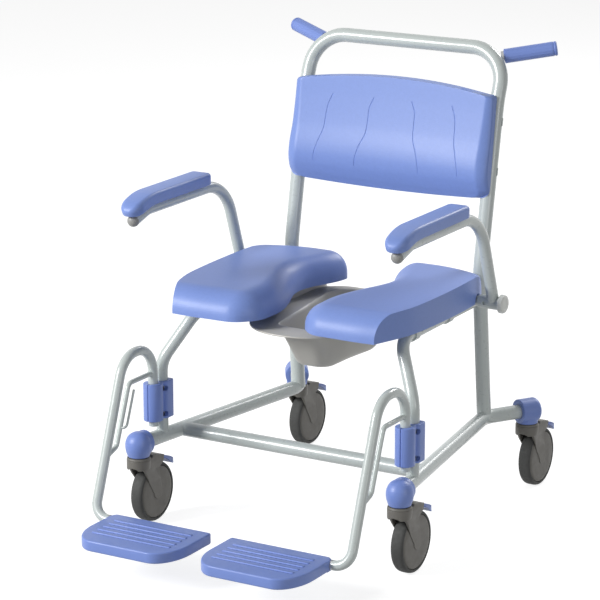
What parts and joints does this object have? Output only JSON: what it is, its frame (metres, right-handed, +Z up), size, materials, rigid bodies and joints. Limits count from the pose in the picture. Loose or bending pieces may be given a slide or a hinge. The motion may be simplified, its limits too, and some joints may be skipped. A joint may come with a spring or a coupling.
{
  "type": "shower commode chair",
  "caption": "Wheeled shower commode chair: white bent-tube frame, split blue foam seat over a slide-out pan, curved backrest, swing-up armrests, swing-away footrests and braked castors.",
  "frame": {"origin": "on the floor, in the middle of the chair's plan box", "axes": "+Z up, -Y the way the sitter faces, +X the sitter's left"},
  "size_m": [0.6554, 1.041, 0.9561],
  "materials": {
    "tube_white": "gloss",
    "pad_blue": "satin",
    "mould_blue": "satin",
    "pan_grey": "satin",
    "fork_grey": "satin",
    "hub_grey": "satin",
    "tyre_grey": "matte",
    "cap_grey": "satin",
    "steel": "satin"
  },
  "bodies": {
    "frame": {"armrest_stub_caps": "cap_grey", "armrest_stub_left": "tube_white", "armrest_stub_right": "tube_white", "back_clips": "steel", "back_frame": "tube_white", "back_pad": "pad_blue", "castor_cap_front_left": "mould_blue", "castor_cap_front_right": "mould_blue", "castor_cap_rear_left": "mould_blue", "castor_cap_rear_right": "mould_blue", "castor_stems": "steel", "clamp_bolts": "steel", "clamp_inner_left": "mould_blue", "clamp_inner_right": "mould_blue", "clamp_outer_left": "mould_blue", "clamp_outer_right": "mould_blue", "cross_tube": "tube_white", "leg_tube_left": "tube_white", "leg_tube_right": "tube_white", "pan_rail_left": "steel", "pan_rail_right": "steel", "push_grip_left": "pad_blue", "push_grip_right": "pad_blue", "push_grip_stubs": "tube_white", "seat_clips": "steel", "seat_pad_left": "pad_blue", "seat_pad_right": "pad_blue", "side_tube_left": "tube_white", "side_tube_right": "tube_white"},
    "pan": {"commode_pan": "pan_grey"},
    "armrest_left": {"armrest_tube_left": "tube_white", "armrest_tip_left": "cap_grey", "armrest_pad_left": "pad_blue"},
    "hanger_left": {"hanger_tube_left": "tube_white", "guard_rod_left": "tube_white", "footplate_pin_left": "steel"},
    "footrest_left": {"footplate_left": "mould_blue"},
    "armrest_right": {"armrest_tube_right": "tube_white", "armrest_tip_right": "cap_grey", "armrest_pad_right": "pad_blue"},
    "hanger_right": {"hanger_tube_right": "tube_white", "guard_rod_right": "tube_white", "footplate_pin_right": "steel"},
    "footrest_right": {"footplate_right": "mould_blue"},
    "castor_front_left": {"castor_fork_front_left": "fork_grey"},
    "wheel_front_left": {"castor_hub_front_left": "hub_grey", "castor_tyre_front_left": "tyre_grey"},
    "brake_front_left": {"castor_pedal_front_left": "mould_blue"},
    "castor_rear_left": {"castor_fork_rear_left": "fork_grey"},
    "wheel_rear_left": {"castor_hub_rear_left": "hub_grey", "castor_tyre_rear_left": "tyre_grey"},
    "brake_rear_left": {"castor_pedal_rear_left": "mould_blue"},
    "castor_front_right": {"castor_fork_front_right": "fork_grey"},
    "wheel_front_right": {"castor_hub_front_right": "hub_grey", "castor_tyre_front_right": "tyre_grey"},
    "brake_front_right": {"castor_pedal_front_right": "mould_blue"},
    "castor_rear_right": {"castor_fork_rear_right": "fork_grey"},
    "wheel_rear_right": {"castor_hub_rear_right": "hub_grey", "castor_tyre_rear_right": "tyre_grey"},
    "brake_rear_right": {"castor_pedal_rear_right": "mould_blue"}
  },
  "joints": [
    {"name": "pan_slide", "type": "slide", "parent": "frame", "child": "pan", "axis": [0, -1, 0], "range_m": [0, 0.3]},
    {"name": "armrest_left_swing", "type": "hinge", "parent": "frame", "child": "armrest_left", "pos_m": [0.296, 0.2045, 0.459], "axis": [1, 0, 0], "range_deg": [-90, 0]},
    {"name": "hanger_left_swing", "type": "hinge", "parent": "frame", "child": "hanger_left", "pos_m": [0.28921, -0.1575, 0.214], "axis": [0, 0, 1], "range_deg": [0, 90]},
    {"name": "footplate_left_fold", "type": "hinge", "parent": "hanger_left", "child": "footrest_left", "pos_m": [0.25021, -0.3745, 0.076], "axis": [1, 0, 0], "range_deg": [-90, 0]},
    {"name": "armrest_right_swing", "type": "hinge", "parent": "frame", "child": "armrest_right", "pos_m": [-0.296, 0.2045, 0.459], "axis": [1, 0, 0], "range_deg": [-90, 0]},
    {"name": "hanger_right_swing", "type": "hinge", "parent": "frame", "child": "hanger_right", "pos_m": [-0.28921, -0.1575, 0.214], "axis": [0, 0, -1], "range_deg": [0, 90]},
    {"name": "footplate_right_fold", "type": "hinge", "parent": "hanger_right", "child": "footrest_right", "pos_m": [-0.25021, -0.3745, 0.076], "axis": [1, 0, 0], "range_deg": [-90, 0]},
    {"name": "castor_front_left_swivel", "type": "hinge", "parent": "frame", "child": "castor_front_left", "pos_m": [0.3, -0.1975, 0.1497], "axis": [0, 0, 1], "continuous": true},
    {"name": "wheel_front_left_spin", "type": "hinge", "parent": "castor_front_left", "child": "wheel_front_left", "pos_m": [0.3, -0.1495, 0.0625], "axis": [1, 0, 0], "continuous": true},
    {"name": "brake_front_left_pedal", "type": "hinge", "parent": "castor_front_left", "child": "brake_front_left", "pos_m": [0.3, -0.1555, 0.1355], "axis": [1, 0, 0], "range_deg": [-5, 0]},
    {"name": "castor_rear_left_swivel", "type": "hinge", "parent": "frame", "child": "castor_rear_left", "pos_m": [0.281, 0.4065, 0.1497], "axis": [0, 0, 1], "continuous": true},
    {"name": "wheel_rear_left_spin", "type": "hinge", "parent": "castor_rear_left", "child": "wheel_rear_left", "pos_m": [0.281, 0.4545, 0.0625], "axis": [1, 0, 0], "continuous": true},
    {"name": "brake_rear_left_pedal", "type": "hinge", "parent": "castor_rear_left", "child": "brake_rear_left", "pos_m": [0.281, 0.4485, 0.1355], "axis": [1, 0, 0], "range_deg": [-5, 0]},
    {"name": "castor_front_right_swivel", "type": "hinge", "parent": "frame", "child": "castor_front_right", "pos_m": [-0.3, -0.1975, 0.1497], "axis": [0, 0, 1], "continuous": true},
    {"name": "wheel_front_right_spin", "type": "hinge", "parent": "castor_front_right", "child": "wheel_front_right", "pos_m": [-0.3, -0.1495, 0.0625], "axis": [1, 0, 0], "continuous": true},
    {"name": "brake_front_right_pedal", "type": "hinge", "parent": "castor_front_right", "child": "brake_front_right", "pos_m": [-0.3, -0.1555, 0.1355], "axis": [1, 0, 0], "range_deg": [-5, 0]},
    {"name": "castor_rear_right_swivel", "type": "hinge", "parent": "frame", "child": "castor_rear_right", "pos_m": [-0.281, 0.4065, 0.1497], "axis": [0, 0, 1], "continuous": true},
    {"name": "wheel_rear_right_spin", "type": "hinge", "parent": "castor_rear_right", "child": "wheel_rear_right", "pos_m": [-0.281, 0.4545, 0.0625], "axis": [1, 0, 0], "continuous": true},
    {"name": "brake_rear_right_pedal", "type": "hinge", "parent": "castor_rear_right", "child": "brake_rear_right", "pos_m": [-0.281, 0.4485, 0.1355], "axis": [1, 0, 0], "range_deg": [-5, 0]}
  ]
}
